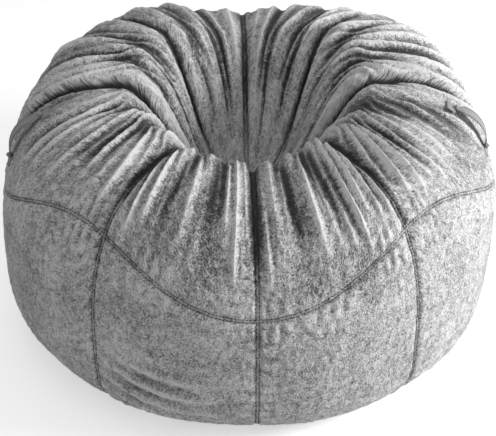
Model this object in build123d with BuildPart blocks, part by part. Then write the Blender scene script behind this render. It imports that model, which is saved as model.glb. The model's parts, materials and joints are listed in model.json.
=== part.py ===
# Bean bag chair, 1.6 m wide: a plush cover of eight top gores and eight side panels over a zipped
# liner full of shredded foam. Millimetres, Z up, front toward -Y, floor at z = 0.
import os
from math import atan2, cos, degrees, hypot, pi, radians, sin

from build123d import *

os.makedirs("parts", exist_ok=True)

# Form of the filled bag
girth_radius = 800
girth_height = 245
base_radius = 615
crest_radius = 405
seat_height = 400
seat_flat = 0.2
lower_fullness = 2.8
upper_fullness = 2.7
rim_front = 720
rim_front_corner = 775
rim_side = 790
rim_back_corner = 840
rim_back = 770
seam_dip = 12

# Main pleats of the top gores: how deep, how many, and where along the gore they begin and end;
# the liner and the foam follow below the deepest folds
pleat_depth = 16
pleat_count = 3
pleat_start = 0.04
pleat_rise = 0.35
pleat_end = 2.72
pleat_fall = 0.42
liner_share = 1.03

# Cut of the cover
seam_azimuths = (0, 36, 90, 135, 180, 225, 270, 324)
seam_height = 560
seam_scallop = 90
patch_radius = 60

# Foam that fills the middle, inside the ring of the seat
core_radius = 30
core_drop = 12

# Cloth and fits
cover_thickness = 12
liner_thickness = 2
layer_gap = 0.7
seam_gap = 0.3
ring_gap = 0.8
joint_gap = 0.3

# Zips across the base, one in the cover and one in the liner
zip_length = 1000
zip_slot = 12
tape_width = 16
tape_thickness = 1
tape_ledge = 6.5
coil_width = 3.2
coil_height = 2
coil_gap = 0.8
slider_length = 20
slider_width = 13
plate_thickness = 1.4
lip_width = 1.8
fin_width = 1
fin_length = 6
end_room = 30
stop_length = 4
pin_radius = 0.7
eye_radius = 1.7
pull_length = 34
pull_width = 6
pull_thickness = 1.5
post_width = 1.2

# Carry handles on both sides
handle_azimuth = 81
handle_top_z = 725
handle_low_z = 600
handle_lift = 9
strap_bow = 32
strap_thickness = 3
strap_width = 40
strap_end_width = 16
strap_taper = 34
barrel_radius = 4.5
barrel_length = 14
loop_wall = 3
loop_length = 8
loop_play = 1
pad_length = 30
pad_width = 44
pad_thickness = 4

panel_names = ("front_right", "right_front", "right_back", "back_right",
               "back_left", "left_back", "left_front", "front_left")


def rim_height(azimuth):
    # smooth symmetric ring through the five named rim heights
    values = (rim_front, rim_front_corner, rim_side, rim_back_corner, rim_back)
    last = len(values) - 1
    total = 0
    for order in range(last + 1):
        weight = 0
        for step, value in enumerate(values):
            share = 0.5 if step in (0, last) else 1
            weight += share * value * cos(order * step * pi / last)
        share = 0.5 if order in (0, last) else 1
        total += share * weight * 2 / last * cos(order * radians(azimuth))
    return total


def bare_point(azimuth, along):
    # along 0 is the base edge, 1 the girth, 2 the rim, 3 the middle of the seat
    rim = rim_height(azimuth)
    if along <= 2:
        turn = (along - 1) * pi / 2
        fullness = lower_fullness if along < 1 else upper_fullness
        reach = (cos(turn) ** fullness + abs(sin(turn)) ** fullness) ** (-1 / fullness)
        inner = base_radius if along < 1 else crest_radius
        rise = girth_height if along < 1 else rim - girth_height
        radius = inner + (girth_radius - inner) * reach * cos(turn)
        return radius, girth_height + rise * reach * sin(turn)
    share = 3 - along
    climb = max(0, (share - seat_flat) / (1 - seat_flat))
    swell = climb ** 3 * (10 - 15 * climb + 6 * climb ** 2)
    return crest_radius * share, seat_height + (rim - seat_height) * swell


def skin_point(azimuth, along, depth, dip, fold):
    # a point of the meridian, moved inward by depth, by the dip of a seam and by a pleat
    step = 0.001
    first = bare_point(azimuth, max(along - step, 0))
    second = bare_point(azimuth, min(along + step, 3))
    run = second[0] - first[0]
    rise = second[1] - first[1]
    inward = depth + dip * sin(pi * along / 3) + fold * pleat_depth * pleat_share(azimuth, along)
    inward = inward / hypot(run, rise)
    radius, height = bare_point(azimuth, along)
    return radius - rise * inward, height + run * inward


def seam_along(azimuth):
    # place of the scalloped seam between side panels and top gores
    height = seam_height - seam_scallop * cos(4 * radians(azimuth))
    share = (height - girth_height) / (rim_height(azimuth) - girth_height)
    reach = (1 - share ** upper_fullness) ** (1 / upper_fullness)
    return 1 + atan2(share, reach) / (pi / 2)


def panel_span(index):
    return seam_azimuths[index], seam_azimuths[index + 1] if index < 7 else 360


def radial_plane(azimuth):
    turn = radians(azimuth)
    return Plane(origin=(0, 0, 0), x_dir=(sin(turn), -cos(turn), 0), z_dir=(-cos(turn), -sin(turn), 0))


def eased(share):
    share = min(max(share, 0), 1)
    return share * share * (3 - 2 * share)


def pleat_share(azimuth, along):
    # how much of a pleat's depth shows at a place along the gore
    begun = (along - seam_along(azimuth) - pleat_start) / pleat_rise
    return eased(begun) * eased((pleat_end - along) / pleat_fall)


def panel_stations(index, steps):
    # section planes across one panel: the seams dip in, the middle stands proud, pleats run between
    first, last = panel_span(index)
    inset = degrees(seam_gap / 2 / girth_radius)
    stations = []
    for step in range(steps + 1):
        across = 2 * step / steps - 1
        middle = (first + last) / 2
        azimuth = middle + across * ((last - first) / 2 - inset)
        fold = (1 + cos(2 * pi * pleat_count * step / steps)) / 2
        stations.append((azimuth, seam_dip * across ** 2, fold))
    return stations


def meridian(azimuth, start, end, depth, dip, fold, count):
    # a spline with evenly spaced knots, so that neighbouring sections match knot for knot
    shares = [step / count for step in range(count + 1)]
    points = [skin_point(azimuth, start + (end - start) * share, depth, dip, fold) for share in shares]
    return Edge.make_spline([Vector(*point) for point in points], parameters=shares)


# Lengths of meridian kept free at the two seams that run round the bag
seam_step = ring_gap / 2 / girth_radius
patch_along = 3 - patch_radius / crest_radius
panel_steps = 8

# Top gores, from the scalloped seam over the rim and down to the seat patch
for index, name in enumerate(panel_names):
    with BuildPart() as top_gore:
        for azimuth, dip, fold in panel_stations(index, 4 * pleat_count):
            start = seam_along(azimuth) + seam_step
            with BuildSketch(radial_plane(azimuth)):
                with BuildLine():
                    outer = meridian(azimuth, start, patch_along, 0, dip, fold, 24)
                    inner = meridian(azimuth, start, patch_along, cover_thickness, dip, fold, 24)
                    add([outer, inner])
                    Line(outer @ 0, inner @ 0)
                    Line(outer @ 1, inner @ 1)
                make_face()
        loft()
    top_gore.part.label = "top_gore_" + name
    export_step(top_gore.part, "parts/top_gore_" + name + ".step")

# Side panels, from the base edge out over the girth to the scalloped seam
for index, name in enumerate(panel_names):
    with BuildPart() as side_panel:
        for azimuth, dip, fold in panel_stations(index, panel_steps):
            end = seam_along(azimuth) - seam_step
            with BuildSketch(radial_plane(azimuth)):
                with BuildLine():
                    outer = meridian(azimuth, 0, end, seam_gap, dip, 0, 18)
                    inner = meridian(azimuth, 0, end, cover_thickness, dip, 0, 18)
                    add([outer, inner])
                    Line(outer @ 0, inner @ 0)
                    Line(outer @ 1, inner @ 1)
                make_face()
        loft()
    side_panel.part.label = "side_panel_" + name
    export_step(side_panel.part, "parts/side_panel_" + name + ".step")

# Round patch where the eight gores meet in the seat
patch_top = bare_point(90, patch_along)[1]
with BuildPart() as seat_patch:
    with Locations((0, 0, patch_top)):
        Cylinder(patch_radius - layer_gap, cover_thickness, align=(Align.CENTER, Align.CENTER, Align.MAX))
    fillet(seat_patch.edges().group_by(Axis.Z)[-1], cover_thickness / 4)
seat_patch.part.label = "seat_patch"
export_step(seat_patch.part, "parts/seat_patch.step")

# Base of the cover: two half discs with a slot between them, stepped inside for the zip tape
for name, side in (("front", -1), ("back", 1)):
    with BuildPart() as base_panel:
        with BuildSketch():
            Circle(base_radius - 2 * layer_gap)
            with Locations((0, -side * base_radius)):
                Rectangle(2 * base_radius, 2 * base_radius + seam_gap, mode=Mode.SUBTRACT)
            Rectangle(zip_length, 2 * zip_slot, mode=Mode.SUBTRACT)
        extrude(amount=cover_thickness)
        with BuildSketch(Plane.XY.offset(tape_ledge)):
            Rectangle(zip_length, 2 * (coil_gap + tape_width + layer_gap))
        extrude(amount=cover_thickness, mode=Mode.SUBTRACT)
    base_panel.part.label = "base_panel_" + name
    export_step(base_panel.part, "parts/base_panel_" + name + ".step")

# Liner: eight long panels, a round of cloth at the seat and two half discs below
liner_depth = cover_thickness + layer_gap
liner_inside = liner_depth + liner_thickness
for index, name in enumerate(panel_names):
    with BuildPart() as liner_panel:
        for azimuth, dip, fold in panel_stations(index, panel_steps):
            with BuildSketch(radial_plane(azimuth)):
                with BuildLine():
                    outer = meridian(azimuth, 0, patch_along, liner_depth, dip, liner_share, 42)
                    inner = meridian(azimuth, 0, patch_along, liner_inside, dip, liner_share, 42)
                    add([outer, inner])
                    Line(outer @ 0, inner @ 0)
                    Line(outer @ 1, inner @ 1)
                make_face()
        loft()
    liner_panel.part.label = "liner_panel_" + name
    export_step(liner_panel.part, "parts/liner_panel_" + name + ".step")

with BuildPart() as liner_seat_patch:
    with Locations((0, 0, patch_top - liner_depth)):
        Cylinder(patch_radius - 2 * layer_gap, liner_thickness, align=(Align.CENTER, Align.CENTER, Align.MAX))
liner_seat_patch.part.label = "liner_seat_patch"
export_step(liner_seat_patch.part, "parts/liner_seat_patch.step")

for name, side in (("front", -1), ("back", 1)):
    with BuildPart() as liner_base:
        with BuildSketch(Plane.XY.offset(liner_depth)):
            Circle(base_radius - 2 * layer_gap)
            with Locations((0, -side * base_radius)):
                Rectangle(2 * base_radius, 2 * base_radius + seam_gap, mode=Mode.SUBTRACT)
            Rectangle(zip_length, 2 * zip_slot, mode=Mode.SUBTRACT)
        extrude(amount=liner_thickness)
    liner_base.part.label = "liner_base_" + name
    export_step(liner_base.part, "parts/liner_base_" + name + ".step")

# Both zips: tapes and coils lie on the inner side of the slot, the slider rides between them
liner_ledge = liner_inside
for layer, ledge in (("cover", tape_ledge), ("liner", liner_ledge)):
    tape_top = ledge + tape_thickness
    coil_top = tape_top + coil_height
    for name, side in (("front", -1), ("back", 1)):
        with BuildPart() as zip_tape:
            with BuildSketch(Plane.XY.offset(ledge)):
                with Locations((0, side * (coil_gap + tape_width / 2))):
                    Rectangle(zip_length - 2 * seam_gap, tape_width)
            extrude(amount=tape_thickness)
        zip_tape.part.label = layer + "_zip_tape_" + name
        export_step(zip_tape.part, "parts/" + layer + "_zip_tape_" + name + ".step")

        with BuildPart() as zip_coil:
            with BuildSketch(Plane.YZ):
                with Locations((side * (coil_gap + coil_width / 2), tape_top + coil_height / 2)):
                    RectangleRounded(coil_width, coil_height, coil_height / 3)
            extrude(amount=zip_length / 2 - end_room / 3, both=True)
        zip_coil.part.label = layer + "_zip_coil_" + name
        export_step(zip_coil.part, "parts/" + layer + "_zip_coil_" + name + ".step")

    with BuildPart() as zip_stops:
        for end in (-1, 1):
            with Locations((end * (zip_length / 2 - end_room / 3 + stop_length / 2 + seam_gap), 0, tape_top)):
                Box(stop_length, 2 * (coil_gap + coil_width), coil_height,
                    align=(Align.CENTER, Align.CENTER, Align.MIN))
    zip_stops.part.label = layer + "_zip_stops"
    export_step(zip_stops.part, "parts/" + layer + "_zip_stops.step")

    slider_x = zip_length / 2 - end_room
    upper_z = coil_top + joint_gap
    lower_z = ledge - joint_gap - plate_thickness
    with BuildPart() as zip_slider:
        with BuildSketch(Plane.XY.offset(lower_z)):
            with Locations((slider_x, 0)):
                RectangleRounded(slider_length, slider_width, slider_width / 4)
        extrude(amount=plate_thickness)
        with BuildSketch(Plane.XY.offset(upper_z)):
            with Locations((slider_x, 0)):
                RectangleRounded(slider_length, slider_width, slider_width / 4)
        extrude(amount=plate_thickness)
        with Locations((slider_x + slider_length / 2 - fin_length, 0, lower_z)):
            Box(fin_length, fin_width, upper_z - lower_z + plate_thickness,
                align=(Align.CENTER, Align.CENTER, Align.MIN))
        for side in (-1, 1):
            with Locations((slider_x, side * (slider_width - lip_width) / 2, tape_top + joint_gap)):
                Box(slider_length - slider_width / 2, lip_width, upper_z - tape_top,
                    align=(Align.CENTER, Align.CENTER, Align.MIN))
        if layer == "cover":
            pin_z = lower_z - joint_gap - eye_radius
            for side in (-1, 1):
                with Locations((slider_x, side * (pull_width / 2 + joint_gap + post_width / 2), lower_z)):
                    Box(2 * eye_radius, post_width, lower_z - pin_z + pin_radius,
                        align=(Align.CENTER, Align.CENTER, Align.MAX))
            with Locations(Location((slider_x, 0, pin_z), (90, 0, 0))):
                Cylinder(pin_radius, pull_width + 2 * joint_gap + 2 * post_width)
    zip_slider.part.label = layer + "_zip_slider"
    export_step(zip_slider.part, "parts/" + layer + "_zip_slider.step")

    # Only the cover's slider has a pull, so a child cannot open the liner
    if layer == "cover":
        with BuildPart() as zip_pull:
            with BuildSketch(Plane.XZ) as pull_side:
                with Locations((slider_x, pin_z)):
                    Circle(eye_radius)
                with Locations((slider_x - pull_length / 2, pin_z)):
                    Rectangle(pull_length, pull_thickness)
                with Locations((slider_x, pin_z)):
                    Circle(pin_radius + joint_gap, mode=Mode.SUBTRACT)
            extrude(amount=pull_width / 2, both=True)
            with Locations((slider_x - pull_length + pull_width, 0, pin_z)):
                Cylinder(pull_width / 4, 2 * pull_thickness, mode=Mode.SUBTRACT)
        zip_pull.part.label = "cover_zip_pull"
        export_step(zip_pull.part, "parts/cover_zip_pull.step")

# Shredded foam, one mass that fills the liner and keeps the hollow of the seat
fill_depth = liner_inside + 1.3 * layer_gap
fill_top = patch_top - fill_depth
with BuildPart() as foam_fill:
    for index in range(8):
        first, last = panel_span(index)
        for step in range(panel_steps + 1):
            across = 2 * step / panel_steps - 1
            azimuth = (first + last + across * (last - first)) / 2
            with BuildSketch(radial_plane(azimuth)):
                with BuildLine():
                    dip = seam_dip * across ** 2
                    top = meridian(azimuth, 0, patch_along, fill_depth, dip, liner_share, 42)
                    add(top)
                    Polyline(top @ 1, (core_radius, fill_top - core_drop), (core_radius, fill_depth), top @ 0)
                make_face()
        loft()
    with Locations((0, 0, 2 * fill_depth)):
        Cylinder(1.5 * core_radius, fill_top - 1.5 * core_drop - 2 * fill_depth,
                 align=(Align.CENTER, Align.CENTER, Align.MIN))
    with Locations((0, 0, fill_depth)):
        Box(zip_length + end_room, 3 * zip_slot, 2 * (coil_height + tape_thickness + plate_thickness),
            mode=Mode.SUBTRACT)
foam_fill.part.label = "foam_fill"
export_step(foam_fill.part, "parts/foam_fill.step")

# Carry handles: a bowed strap that swings about the line through its two sewn-down loops
first, last = panel_span(panel_names.index("right_front"))
handle_dip = seam_dip * ((2 * handle_azimuth - first - last) / (last - first)) ** 2
for name, side in (("right", 1), ("left", -1)):
    azimuth = side * handle_azimuth
    turn = radians(azimuth)
    ends = []
    for height in (handle_top_z, handle_low_z):
        low, high = 1.0, 2.0
        for step in range(40):
            middle = (low + high) / 2
            if skin_point(azimuth, middle, 0, handle_dip, 0)[1] < height:
                low = middle
            else:
                high = middle
        ends.append(skin_point(azimuth, low, 0, handle_dip, 0) + (low,))
    span = hypot(ends[1][0] - ends[0][0], ends[1][1] - ends[0][1])
    fall = ((ends[1][0] - ends[0][0]) / span, (ends[1][1] - ends[0][1]) / span)
    out = (-fall[1], fall[0])
    centre_r = (ends[0][0] + ends[1][0]) / 2 + out[0] * handle_lift
    centre_z = (ends[0][1] + ends[1][1]) / 2 + out[1] * handle_lift
    hinge_plane = Plane(
        origin=(centre_r * sin(turn), -centre_r * cos(turn), centre_z),
        x_dir=(fall[0] * sin(turn), -fall[0] * cos(turn), fall[1]),
        z_dir=(out[0] * sin(turn), -out[0] * cos(turn), out[1]))
    across_plane = Plane(origin=hinge_plane.origin, x_dir=hinge_plane.x_dir, z_dir=-hinge_plane.y_dir)

    with BuildPart() as carry_strap:
        with BuildSketch(across_plane):
            with BuildLine():
                arc = ThreePointArc((-span / 2, 0), (0, strap_bow), (span / 2, 0))
                under = ThreePointArc((-span / 2 + strap_thickness, 0), (0, strap_bow - strap_thickness),
                                      (span / 2 - strap_thickness, 0))
                Line(arc @ 0, under @ 0)
                Line(arc @ 1, under @ 1)
            make_face()
        extrude(amount=strap_width / 2, both=True)
        with BuildSketch(hinge_plane):
            with BuildLine():
                Polyline((-span / 2, -strap_end_width / 2), (-span / 2 + strap_taper, -strap_width / 2),
                         (span / 2 - strap_taper, -strap_width / 2), (span / 2, -strap_end_width / 2),
                         (span / 2, strap_end_width / 2), (span / 2 - strap_taper, strap_width / 2),
                         (-span / 2 + strap_taper, strap_width / 2), (-span / 2, strap_end_width / 2),
                         close=True)
            make_face()
        extrude(amount=2 * strap_bow, both=True, mode=Mode.INTERSECT)
        for end in (-1, 1):
            barrel_end = hinge_plane.from_local_coords((end * (span / 2 + loop_length + loop_play), 0, 0))
            with BuildSketch(Plane(origin=barrel_end, x_dir=hinge_plane.y_dir, z_dir=hinge_plane.x_dir * -end)):
                Circle(barrel_radius)
            extrude(amount=barrel_length)
    carry_strap.part.label = "carry_strap_" + name
    export_step(carry_strap.part, "parts/carry_strap_" + name + ".step")

    with BuildPart() as handle_anchors:
        for end, foot in ((-1, ends[0]), (1, ends[1])):
            ahead = skin_point(azimuth, foot[2] - 0.01, 0, handle_dip, 0)
            reach = hypot(ahead[0] - foot[0], ahead[1] - foot[1])
            slope = ((ahead[0] - foot[0]) / reach, (ahead[1] - foot[1]) / reach)
            pad_plane = Plane(
                origin=(foot[0] * sin(turn), -foot[0] * cos(turn), foot[1]),
                x_dir=(slope[0] * sin(turn), -slope[0] * cos(turn), slope[1]),
                z_dir=(-slope[1] * sin(turn), slope[1] * cos(turn), slope[0]))
            with BuildSketch(pad_plane.offset(2 * joint_gap)):
                with Locations((end * pad_length / 3, 0)):
                    RectangleRounded(pad_length, pad_width, pad_length / 6)
            extrude(amount=pad_thickness)
        for end in (-1, 1):
            loop_plane = Plane(origin=hinge_plane.from_local_coords((end * (span / 2 + loop_length), 0, 0)),
                               x_dir=hinge_plane.y_dir, z_dir=hinge_plane.x_dir * -end)
            with BuildSketch(loop_plane):
                Circle(barrel_radius + joint_gap + loop_wall)
            extrude(amount=loop_length)
            with BuildSketch(loop_plane.offset(-pad_length)):
                Circle(barrel_radius + joint_gap)
            extrude(amount=pad_length + barrel_length + loop_length, mode=Mode.SUBTRACT)
    handle_anchors.part.label = "handle_anchors_" + name
    export_step(handle_anchors.part, "parts/handle_anchors_" + name + ".step")
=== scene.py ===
import bpy
import bmesh
import json
import numpy as np
from math import asin, copysign, cos, exp, pi, radians, sin, sqrt
from mathutils import Matrix, Vector, noise

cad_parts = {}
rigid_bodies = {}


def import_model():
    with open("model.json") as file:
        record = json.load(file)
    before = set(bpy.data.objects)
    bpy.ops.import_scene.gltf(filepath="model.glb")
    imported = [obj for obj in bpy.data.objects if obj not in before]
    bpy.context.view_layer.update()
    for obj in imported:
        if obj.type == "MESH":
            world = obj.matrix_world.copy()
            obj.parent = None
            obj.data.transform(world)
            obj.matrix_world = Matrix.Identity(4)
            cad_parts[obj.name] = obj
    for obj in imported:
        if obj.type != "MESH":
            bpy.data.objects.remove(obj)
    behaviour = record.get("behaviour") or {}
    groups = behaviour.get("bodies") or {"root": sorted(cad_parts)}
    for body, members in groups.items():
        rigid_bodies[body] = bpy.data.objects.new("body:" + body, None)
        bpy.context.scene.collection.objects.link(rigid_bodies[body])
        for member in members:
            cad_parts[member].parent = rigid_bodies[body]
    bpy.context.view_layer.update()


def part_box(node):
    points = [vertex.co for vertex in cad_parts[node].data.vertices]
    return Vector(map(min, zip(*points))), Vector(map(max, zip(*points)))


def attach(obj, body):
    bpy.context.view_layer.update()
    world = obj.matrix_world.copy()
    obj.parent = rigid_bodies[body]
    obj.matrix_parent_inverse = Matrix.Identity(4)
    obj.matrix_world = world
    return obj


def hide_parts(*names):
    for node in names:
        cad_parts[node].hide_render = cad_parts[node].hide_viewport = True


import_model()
scene = bpy.context.scene
panelNames = ["front_right", "right_front", "right_back", "back_right",
              "back_left", "left_back", "left_front", "front_left"]

# the filled bag, in metres, the same form as the CAD source
bag = {
    "girthRadius": 0.8, "girthHeight": 0.245, "baseRadius": 0.615, "crestRadius": 0.405,
    "seatHeight": 0.40, "seatFlat": 0.2, "lowerFullness": 2.8, "upperFullness": 2.7,
    "rim": (0.72, 0.775, 0.79, 0.84, 0.77),  # front, front corner, side, back corner, back
    "seamDip": 0.012, "patchRadius": 0.06,
    "seams": (0, 36, 90, 135, 180, 225, 270, 324, 360),  # azimuths, from the front towards the right
    "ringHeight": 0.56, "ringScallop": 0.09,
}


def rimHeight(az):  # a smooth curve through the rim heights, the same on both sides
    heights = np.array(bag["rim"])
    ends = np.array([0.5, 1, 1, 1, 0.5])
    total = 0
    for order in range(5):
        part = (ends * heights * np.cos(order * np.arange(5) * pi / 4)).sum() / 2
        total = total + part * ends[order] * np.cos(order * az)
    return total


def barePoint(az, along):  # along: 0 base edge, 1 girth, 2 rim, 3 middle of the seat
    rim = rimHeight(az)
    turn = (np.clip(along, 0, 2) - 1) * pi / 2
    low = along < 1
    full = np.where(low, bag["lowerFullness"], bag["upperFullness"])
    reach = (np.abs(np.cos(turn)) ** full + np.abs(np.sin(turn)) ** full) ** (-1 / full)
    inner = np.where(low, bag["baseRadius"], bag["crestRadius"])
    rise = np.where(low, bag["girthHeight"], rim - bag["girthHeight"])
    share = np.clip(3 - along, 0, 1)
    climb = np.clip((share - bag["seatFlat"]) / (1 - bag["seatFlat"]), 0, 1)
    swell = climb ** 3 * (10 - 15 * climb + 6 * climb ** 2)
    radius = np.where(along > 2, bag["crestRadius"] * share,
                      inner + (bag["girthRadius"] - inner) * reach * np.cos(turn))
    height = np.where(along > 2, bag["seatHeight"] + (rim - bag["seatHeight"]) * swell,
                      bag["girthHeight"] + rise * reach * np.sin(turn))
    return radius, height


def skinPoint(az, along, lift):  # lift is outward along the meridian's normal
    nudge = 0.001
    r0, z0 = barePoint(az, np.maximum(along - nudge, 0))
    r1, z1 = barePoint(az, np.minimum(along + nudge, 3))
    run, rise = r1 - r0, z1 - z0
    size = np.hypot(run, rise)
    radius, height = barePoint(az, along)
    radius = radius + rise / size * lift
    height = height - run / size * lift
    return np.stack([radius * np.sin(az), -radius * np.cos(az), height], -1)


def ringAlong(az):  # the scalloped seam between side panels and top gores
    height = bag["ringHeight"] - bag["ringScallop"] * np.cos(4 * az)
    share = (height - bag["girthHeight"]) / (rimHeight(az) - bag["girthHeight"])
    full = bag["upperFullness"]
    return 1 + np.arctan2(share, (1 - share ** full) ** (1 / full)) / (pi / 2)


# coarse sheet of the whole cover that the simulation works on
sheet = {"colsPerPanel": 54, "lowRows": 38, "topRows": 78, "seed": 11, "measureSteps": 300}
colsPer, lowRows, topRows = sheet["colsPerPanel"], sheet["lowRows"], sheet["topRows"]
cols, rows = 8 * colsPer, lowRows + topRows
patchAlong = 3 - bag["patchRadius"] / bag["crestRadius"]
seamAz = np.radians(bag["seams"])
dice = np.random.RandomState(sheet["seed"])


def evenAlong(az, start, end, count):  # rows at even spacing along the cloth, and its length
    steps = np.linspace(start, end, sheet["measureSteps"])
    radius, height = barePoint(np.full_like(steps, az), steps)
    run = np.concatenate([[0], np.cumsum(np.hypot(np.diff(radius), np.diff(height)))])
    return np.interp(np.linspace(0, run[-1], count + 1), run, steps), run[-1]


def waveSet(low, high, count, grow):  # slow uneven waves round the bag
    return [(dice.normal() / sqrt(count), int(dice.randint(low, high)), dice.uniform(0, 2 * pi),
             3 * dice.uniform(-grow, grow)) for k in range(count)]


def drift(waves, az, along):
    return sum(weight * np.cos(order * az + turn + grow * along) for weight, order, turn, grow in waves)


def ease(value):  # 0 to 1, slow at both ends
    value = np.clip(value, 0, 1)
    return value * value * (3 - 2 * value)


def window(along, piece):  # 1 between the piece's start and end, fading out beyond them
    return ease((along - piece["start"]) / piece["rise"]) * ease((piece["end"] - along) / piece["fall"])


def bell(gap, width):  # 1 in the middle, soon nothing beyond the width
    return np.exp(-(gap / width) ** 2)


def turnFrom(az, middle):  # the shorter way round from one azimuth to another
    return (az - middle + pi) % (2 * pi) - pi


# main pleats of the top gores, as deep and as long as in the CAD source, but swaying
pleats = {"depth": 0.016, "count": 3, "start": 0.04, "rise": 0.35, "end": 2.72, "fall": 0.42, "sway": 0.7,
          "waves": waveSet(2, 14, 10, 0.8)}


def pleatLift(az, along, across):
    spread = ease((along - ringAlong(az) - pleats["start"]) / pleats["rise"])
    spread = spread * ease((pleats["end"] - along) / pleats["fall"])
    share = (across + 1) / 2
    sway = pleats["sway"] * drift(pleats["waves"], az, along) * np.sin(pi * share)
    return -pleats["depth"] * spread * (1 + np.cos(2 * pi * pleats["count"] * share + sway)) / 2


# finer gathers that run from near the ring seam over the rim into the seat, drawn towards its front
gathers = {"count": 78, "depth": 0.0205, "sharp": 0.80, "round": 0.012, "sunk": 0.14, "wander": 1.7,
           "rise": 0.30, "fall": 0.32, "ringGap": 0.03, "ringFade": 0.16, "halfTurn": 0.4, "seamFade": 0.05,
           "forward": 0.25, "forwardEnd": 2.4, "forwardFade": 0.9, "fullRadius": 0.44, "least": 0.2,
           "backShare": 0.6, "backEdge": -0.7, "backFade": 0.8, "frontCalm": 0.5, "frontEdge": 0.90,
           "frontFade": 0.09, "waves": waveSet(2, 16, 12, 0.8)}
gathers["strength"] = 1.5 * dice.uniform(0.1, 1, gathers["count"]) ** 0.7
gathers["start"] = dice.uniform(1.14, 1.60, gathers["count"])
gathers["end"] = dice.uniform(2.40, 2.85, gathers["count"])


def gatherLift(az, along, across, radius):
    forward = gathers["forward"] * ease((gathers["forwardEnd"] - along) / gathers["forwardFade"])
    aim = np.arctan2(radius * np.sin(az), radius * np.cos(az) - forward)
    phase = gathers["count"] * aim + gathers["wander"] * drift(gathers["waves"], az, along)
    ridge = 1 - (np.sin(phase / 2) ** 2 + gathers["round"]) ** (gathers["sharp"] / 2)
    number = np.floor((phase + pi) / (2 * pi)).astype(int) % gathers["count"]
    spread = ease((along - gathers["start"][number]) / gathers["rise"])
    spread = spread * ease((gathers["end"][number] - along) / gathers["fall"])
    spread = spread * ease((along - ringAlong(az) - gathers["ringGap"]) / gathers["ringFade"])
    seamGap = (1 - np.abs(across)) * gathers["halfTurn"] * radius
    spread = spread * ease(seamGap / gathers["seamFade"])  # none close beside a seam
    ahead, back = np.cos(az), gathers["backShare"]  # ahead: 1 at the front, -1 at the back
    size = gathers["depth"] * np.clip(radius / gathers["fullRadius"], gathers["least"], 1)
    size = size * (back + (1 - back) * ease((ahead - gathers["backEdge"]) / gathers["backFade"]))
    front = ease((ahead - gathers["frontEdge"]) / gathers["frontFade"])
    size = size * (1 - gathers["frontCalm"] * front)
    return size * gathers["strength"][number] * spread * (ridge - gathers["sunk"])


# a narrow groove along each top seam, with a soft rolled lip behind the two side seams
creases = {"groove": (0.003, 0.004, 0.020, 0.004, 0.003, 0.004, 0.020, 0.004), "width": 0.012,
           "fill": (0.004, 0.004, 0.014, 0.008, 0.012, 0.008, 0.014, 0.004), "fillWidth": 0.046,
           "lip": (0, 0, 0.013, 0, 0, 0, -0.013, 0), "lipAway": 0.029, "lipWidth": 0.014,
           "start": 1.38, "rise": 0.25, "end": 2.78, "fall": 0.45}


def creaseLift(az, along, radius):
    lift = 0
    for i in range(8):
        gap = turnFrom(az, seamAz[i]) * radius
        behind = gap - copysign(creases["lipAway"], creases["lip"][i])
        lift = lift + creases["fill"][i] * bell(gap, creases["fillWidth"])
        lift = lift + abs(creases["lip"][i]) * bell(behind, creases["lipWidth"])
        lift = lift - creases["groove"][i] * bell(gap, creases["width"])
    return lift * window(along, creases)


# short puckers beside the ring seam and, below it, beside the upright seams
puckers = {"depth": 0.0018, "spacing": 0.044, "wander": 4.5, "usual": 0.9, "uneven": 0.9, "most": 2.4,
           "ringRadius": 0.76, "ringSpan": 0.75, "ringAway": 0.036, "ringWidth": 0.030,
           "sideShare": 0.6, "halfTurn": 0.36, "sideAway": 0.03, "sideWidth": 0.028,
           "ringFade": 0.1, "floorFade": 0.3,
           "ringWaves": waveSet(4, 30, 10, 0.6), "sideWaves": waveSet(4, 30, 10, 2.0)}


def puckerLift(az, along, across, radius, height):
    ring, mixed = ringAlong(az), drift(puckers["sideWaves"], az, along)
    size = puckers["depth"] * np.clip(puckers["usual"] + puckers["uneven"] * mixed, 0, puckers["most"])
    wander = puckers["wander"] * drift(puckers["ringWaves"], az, along)
    wave = np.sin(2 * pi * az * puckers["ringRadius"] / puckers["spacing"] + wander)
    ringGap = puckers["ringSpan"] * np.abs(along - ring)
    lift = size * wave * bell(ringGap - puckers["ringAway"], puckers["ringWidth"])
    wave = np.sin(2 * pi * height / puckers["spacing"] + puckers["wander"] * mixed)
    sideGap = (1 - np.abs(across)) * radius * puckers["halfTurn"]
    below = ease((ring - along) / puckers["ringFade"]) * ease(along / puckers["floorFade"])
    beside = bell(sideGap - puckers["sideAway"], puckers["sideWidth"]) * below
    return lift + puckers["sideShare"] * size * wave * beside


# sagging folds low down on the side panels
sags = {"spacing": 0.062, "sharp": 0.8, "sunk": 0.35, "arch": 0.35, "lean": 0.10, "wander": 0.6,
        "floorFade": 0.35, "top": 1.6, "waves": waveSet(2, 10, 6, 1.0),
        "places": ({"az": 338, "height": 0.17, "wide": 11, "tall": 0.12, "depth": 0.020},
                   {"az": 52, "height": 0.12, "wide": 10, "tall": 0.09, "depth": 0.007},
                   {"az": 300, "height": 0.10, "wide": 9, "tall": 0.08, "depth": 0.006},
                   {"az": 150, "height": 0.13, "wide": 14, "tall": 0.10, "depth": 0.009})}


def sagLift(az, along, height):
    low = ease(along / sags["floorFade"]) * (along < sags["top"])
    wander = sags["wander"] * drift(sags["waves"], az, along)
    lift = 0
    for sag in sags["places"]:
        turn = turnFrom(az, radians(sag["az"]))
        place = bell(turn, radians(sag["wide"])) * bell(height - sag["height"], sag["tall"])
        bend = (height - sags["arch"] * turn ** 2 + sags["lean"] * turn) / sags["spacing"]
        fold = 1 - np.abs(np.sin(pi * bend + wander)) ** sags["sharp"]
        lift = lift + sag["depth"] * place * (fold - sags["sunk"]) * low
    return lift


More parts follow.
